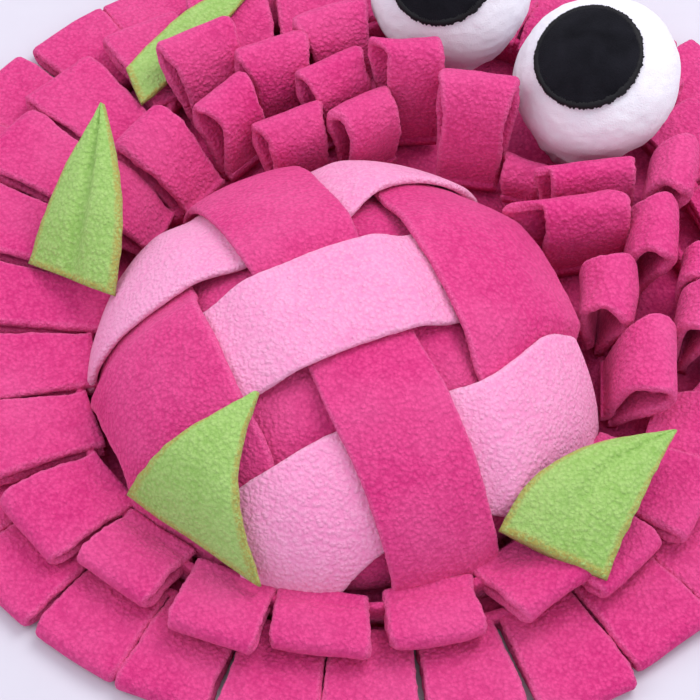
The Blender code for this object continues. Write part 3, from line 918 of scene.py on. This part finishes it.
def dress_weave_strip(name, material, turn, edges_at, crossed_at, overs):
    """A woven strip. edges_at gives its edges along it, and crossed_at those that it meets."""
    direction = math.radians(turn)
    ahead = Vector((math.cos(direction), math.sin(direction), 0.0))
    left = Vector((-ahead.y, ahead.x, 0.0))
    centre = Vector((DOME_X, DOME_Y, DOME_BASE))
    outer = DOME_RADIUS + WEAVE_HIGH
    ends = WEAVE_ENDS.get(name, (outer, outer))
    stations = WEAVE_STATIONS
    columns = WEAVE_COLUMNS
    seed = len(name) * 7.3 + edges_at(0.0)[0]
    skin = Skin()
    rings = []
    for i in range(stations + 1):
        share = math.sin(math.pi / 2 * (2 * i / stations - 1) * 0.995)
        low, high = edges_at(share * outer)
        low += 0.8 * lump((share * outer, seed, 0.0), 26.0)
        high += 0.8 * lump((share * outer, seed + 40, 0.0), 26.0)
        middle = (low + high) / 2
        last = ends[0] if share < 0 else ends[1]
        ring = []
        for across, above, cut in cloth_section((high - low) / 2, WEAVE_THICK, columns):
            fray = WEAVE_FRAY * cut * lump((share * outer, seed, 3 * above), 1.7)
            frayed = math.copysign(fray, across)
            aside = (middle + across + frayed) / outer
            belt = min(last / outer, 0.9995 * math.sqrt(max(0.02, 1 - aside * aside)))
            run = share * (belt + (1 - belt) * (1 - share * share))
            run = max(-belt, min(belt, run))
            unit = ahead * run + left * aside
            unit.z = math.sqrt(max(0.0, 1 - run * run - aside * aside))
            height = weave_height(run * outer, crossed_at(aside * outer), overs)
            puff = 0.7 * (1 - (2 * across / (high - low)) ** 2) * smooth_step(unit.z * 2)
            height += above + puff
            wide = DOME_RADIUS + height
            tall = DOME_RISE + height
            spot = Vector((unit.x * wide, unit.y * wide, unit.z * tall))
            ring.append(skin.point(centre + spot, cut))
        rings.append(ring)
    skin.rings(rings)
    end_cap(skin, rings[0], columns, True)
    end_cap(skin, rings[-1], columns, False)
    piece = make_piece("soft_" + name, skin, material, [name], ((26.0, 0.5), (9.0, 0.25)))
    tops = [[Vector(skin.points[ring[j]]) for j in range(columns + 1)] for ring in rings]
    low, high = edges_at(0.0)


def pale_crossed(aside):
    """The edges of the pale strips that a hot pink one meets, in its own direction."""
    return [tuple(-edge for edge in reversed(pale_edges(k, aside))) for k in (2, 1, 0)]


def dress_weave(hot, pale):
    for i, name in enumerate(("front", "middle", "back")):
        dress_weave_strip(
            "weave_pale_" + name,
            pale,
            WEAVE_TURN,
            lambda along: pale_edges(i, along),
            lambda aside: [pink_edges(k, -aside) for k in range(3)],
            PALE_OVER[i],
        )
        dress_weave_strip(
            "weave_pink_" + name,
            hot,
            WEAVE_TURN - 90.0,
            lambda along: pink_edges(i, along),
            pale_crossed,
            tuple(not PALE_OVER[2 - k][i] for k in range(3)),
        )


# Leaves and eyes


def dress_leaf(name, material, base_left, base_right, tip, bulges, bow, thick, crease):
    """A padded triangle of two layers, from its base to its tip, with an overlocked edge."""
    bulge_left, bulge_right = bulges
    rows = 44
    columns = 26
    left = Vector(base_left)
    right = Vector(base_right)
    point = Vector(tip)
    middle = (left + right) / 2
    across = (right - left).normalized()
    normal = across.cross(point - middle).normalized()
    if normal.z < 0:
        normal = -normal
    seed = sum(tip)
    skin = Skin()
    rings = []
    for i in range(rows + 1):
        s = 0.985 * i / rows
        swell = math.sin(math.pi * min(1.0, s))
        ragged = 0.5 * lump((s * 60, seed, 0), 4.0)
        edge_left = left.lerp(point, s) - across * (bulge_left * swell + ragged)
        ragged = 0.5 * lump((s * 60, seed, 9), 4.0)
        edge_right = right.lerp(point, s) + across * (bulge_right * swell + ragged)
        upper = []
        lower = []
        for j in range(columns + 1):
            t = j / columns
            aside = 2 * t - 1
            room = math.sin(math.pi * min(1.0, 0.12 + 0.88 * s)) ** 0.7
            puff = (1 - abs(aside) ** 2.6) * room
            half = (2.2 + (thick - 2.2) * puff) / 2
            dent = crease * math.exp(-((aside / 0.16) ** 2)) * room
            spot = edge_left.lerp(edge_right, t) + normal * (bow * swell)
            by_side = smooth_step((abs(aside) - 0.86) / 0.08)
            mark = max(by_side, smooth_step((0.05 - s) / 0.03))
            upper.append(skin.point(spot + normal * (half - dent), mark))
            lower.append(skin.point(spot - normal * half, mark))
        rings.append(upper + list(reversed(lower)))
    skin.rings(rings)
    skin.cap(rings[0], True)
    skin.cap(rings[-1])
    lumps = ((22.0, 0.6), (5.0, 0.2))
    piece = make_piece("soft_" + name, skin, material, [name], lumps)
    marks = piece.data.attributes.new("seam", "FLOAT", "POINT")
    marks.data.foreach_set("value", skin.cut)


def eye_axes(gaze):
    """An eye's way of facing, and the level and the upright axis of its pupil."""
    facing = Vector(gaze).normalized()
    wide = facing.cross(Vector((0.0, 1.0, 0.0))).normalized()
    tall = wide.cross(facing).normalized()
    if tall.y < 0:
        wide = -wide
        tall = -tall
    return facing, wide, tall


def dress_eye(side, white, black, thread):
    x, y, height, foot_x, foot_y, gaze = EYES[side]
    facing, wide, tall = eye_axes(gaze)
    centre = Vector((x, y, height))
    segments = EYE_SEGMENTS
    skin = Skin()
    rings = []
    foot = Vector((foot_x, foot_y, BACKING_THICK + 0.4))

    def ring_round(middle, first, second, radius, gather):
        ring = []
        for k in range(segments):
            turn = 2 * math.pi * k / segments
            drawn = radius * (1 + gather * math.sin(EYE_GATHERS * turn + 2 * math.sin(turn)))
            spot = middle + first * (drawn * math.cos(turn)) + second * (drawn * math.sin(turn))
            ring.append(skin.point(spot))
        return ring

    upright = Vector((0.0, 0.0, 1.0))
    level_x = Vector((math.copysign(1.0, wide.x), 0.0, 0.0))
    level_y = Vector((0.0, 1.0, 0.0))
    rings.append(ring_round(foot, level_x, level_y, EYE_NECK + 1.5, 0.03))
    rings.append(ring_round(foot + Vector((0.0, 0.0, 4.0)), level_x, level_y, EYE_NECK, 0.05))
    steps = EYE_STEPS
    start = math.radians(EYE_START)
    for k in range(steps):
        tilt = start + (math.pi / 2 - start) * k / steps
        axis = facing.lerp(upright, smooth_step(-tilt / 0.7))
        share = EYE_BACK_DEPTH if tilt < 0 else 1.0
        middle = centre + axis * (EYE_DEPTH * math.sin(tilt) * share)
        gather = 0.05 * smooth_step((-tilt - 0.25) / 0.8)
        fullness = EYE_BACK_FULLNESS if tilt < 0 else 1.0
        radius = EYE_RADIUS * math.cos(tilt) ** fullness
        rings.append(ring_round(middle, wide, tall, radius, gather))
    skin.rings(rings)
    skin.fan(rings[0], foot, True)
    skin.fan(rings[-1], centre + facing * EYE_DEPTH)
    name = "eye_" + side
    piece = make_piece("stuffed_" + name, skin, white, [name], EYE_LUMPS)
    dress_pupil(side, centre, facing, wide, tall, black, thread)


def dress_pupil(side, centre, facing, wide, tall, black, thread):
    """The oval patch and the satin-stitched border round it."""
    rounds = 16
    segments = 120

    def on_ball(share_out, turn, lift):
        along = wide * (PUPIL_WIDE * math.cos(turn)) + tall * (PUPIL_TALL * math.sin(turn))
        aside = along * share_out
        share = aside.length / EYE_RADIUS
        depth = math.sqrt(1 - share * share)
        surface = aside + facing * (EYE_DEPTH * depth)
        slope = (aside / EYE_RADIUS**2 + facing * (depth / EYE_DEPTH)).normalized()
        return centre + surface + slope * lift

    skin = Skin()
    rings = []
    turns = [2 * math.pi * k / segments for k in range(segments)]
    for ring in range(rounds + 1):
        share_out = 0.04 + 0.92 * ring / rounds
        rings.append([skin.point(on_ball(share_out, turn, PUPIL_LIFT)) for turn in turns])
    under = [skin.point(on_ball(0.96, turn, PUPIL_UNDER)) for turn in turns]
    skin.rings(rings + [under])
    skin.fan(rings[0], on_ball(0.0, 0.0, PUPIL_LIFT), True)
    skin.fan(under, on_ball(0.0, 0.0, PUPIL_UNDER))
    lumps = ((14.0, 0.35), (4.0, 0.12))
    solid = "pupil_" + side
    patch = make_piece("pupil_patch_" + side, skin, black, [solid], lumps)

    border = Skin()
    stitches = BORDER_STITCHES
    rings = []
    rng = random.Random(7)
    for k in range(2 * stitches):
        turn = math.pi * k / stitches
        high = 2.5 if k % 2 else 2.2
        reach = BORDER_REACH + rng.uniform(-0.35, 0.45)
        section = []
        for turned in range(8):
            bend = 2 * math.pi * turned / 8
            share_out = 0.965 + reach * math.cos(bend) / PUPIL_WIDE
            swell = high - BORDER_LIFT if bend < math.pi else 1.1
            lift = BORDER_LIFT + swell * math.sin(bend)
            section.append(border.point(on_ball(share_out, turn, lift)))
        rings.append(section)
    border.rings(rings, True)
    make_piece("pupil_border_" + side, border, thread, [], ())


# Setting


def look_from(azimuth, elevation, distance, target):
    """The place at this angle and distance from a target, and its direction from there."""
    turn = math.radians(azimuth)
    rise = math.radians(elevation)
    level = math.cos(rise)
    back = Vector((level * math.sin(turn), -level * math.cos(turn), math.sin(rise)))
    return Vector(target) + back * distance, back


def add_camera():
    camera = bpy.data.cameras.new("photo_camera")
    camera.lens = VIEW_LENS
    camera.sensor_width = 36.0
    camera.clip_end = 20.0
    holder = bpy.data.objects.new("photo_camera", camera)
    place, back = look_from(VIEW_AZIMUTH, VIEW_ELEVATION, VIEW_DISTANCE, VIEW_TARGET)
    holder.location = place * MM
    holder.rotation_euler = back.to_track_quat("Z", "Y").to_euler()
    bpy.context.scene.collection.objects.link(holder)
    bpy.context.scene.camera = holder


def add_softbox(name, azimuth, elevation, distance, size, watts, colour):
    lamp = bpy.data.lights.new(name, "AREA")
    lamp.shape = "DISK"
    lamp.size = size * MM
    lamp.energy = watts
    lamp.color = colour
    holder = bpy.data.objects.new(name, lamp)
    place, back = look_from(azimuth, elevation, distance, (0.0, -20.0, 0.0))
    holder.location = place * MM
    holder.rotation_euler = back.to_track_quat("Z", "Y").to_euler()
    bpy.context.scene.collection.objects.link(holder)


def add_studio():
    scene = bpy.context.scene
    scene.view_settings.view_transform = "Standard"
    world = bpy.data.worlds.new("soft_room")
    world.use_nodes = True
    background = world.node_tree.nodes["Background"]
    background.inputs["Color"].default_value = ROOM_COLOUR
    background.inputs["Strength"].default_value = ROOM_STRENGTH
    scene.world = world
    for name, values in SOFTBOXES.items():
        add_softbox(name, *values)
    mesh = bpy.data.meshes.new("studio_floor")
    size = 3.0
    level = -0.0004
    mesh.from_pydata(
        [(-size, -size, level), (size, -size, level), (size, size, level), (-size, size, level)],
        [],
        [(0, 1, 2, 3)],
    )
    mesh.materials.append(paper("floor_paper"))
    floor = bpy.data.objects.new("studio_floor", mesh)
    scene.collection.objects.link(floor)


def main():
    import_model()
    hot = fleece("hot_pink_fleece_pile", HOT_PINK, HOT_PINK_DEEP, HOT_PINK_LIGHT)
    pale = fleece("light_pink_fleece_pile", LIGHT_PINK, LIGHT_PINK_DEEP, LIGHT_PINK_LIGHT)
    green = stitched_fleece("green_fleece_pile", GREEN, GREEN_DEEP, GREEN_LIGHT, SEAM_GREEN)
    white = plush("white_plush_pile", WHITE, WHITE_DEEP, 0.3)
    black = plush("black_plush_pile", BLACK, BLACK_DEEP, 0.05)
    border = satin("black_satin_thread", SATIN)
    dress_backing(hot)
    dress_lower_rim(hot)
    dress_upper_rim(hot)
    dress_dome(hot)
    dress_weave(hot, pale)
    dress_loops(hot)
    for name, values in LEAVES.items():
        dress_leaf(name, green, *values)
    for side in EYES:
        dress_eye(side, white, black, border)
    add_camera()
    add_studio()


main()
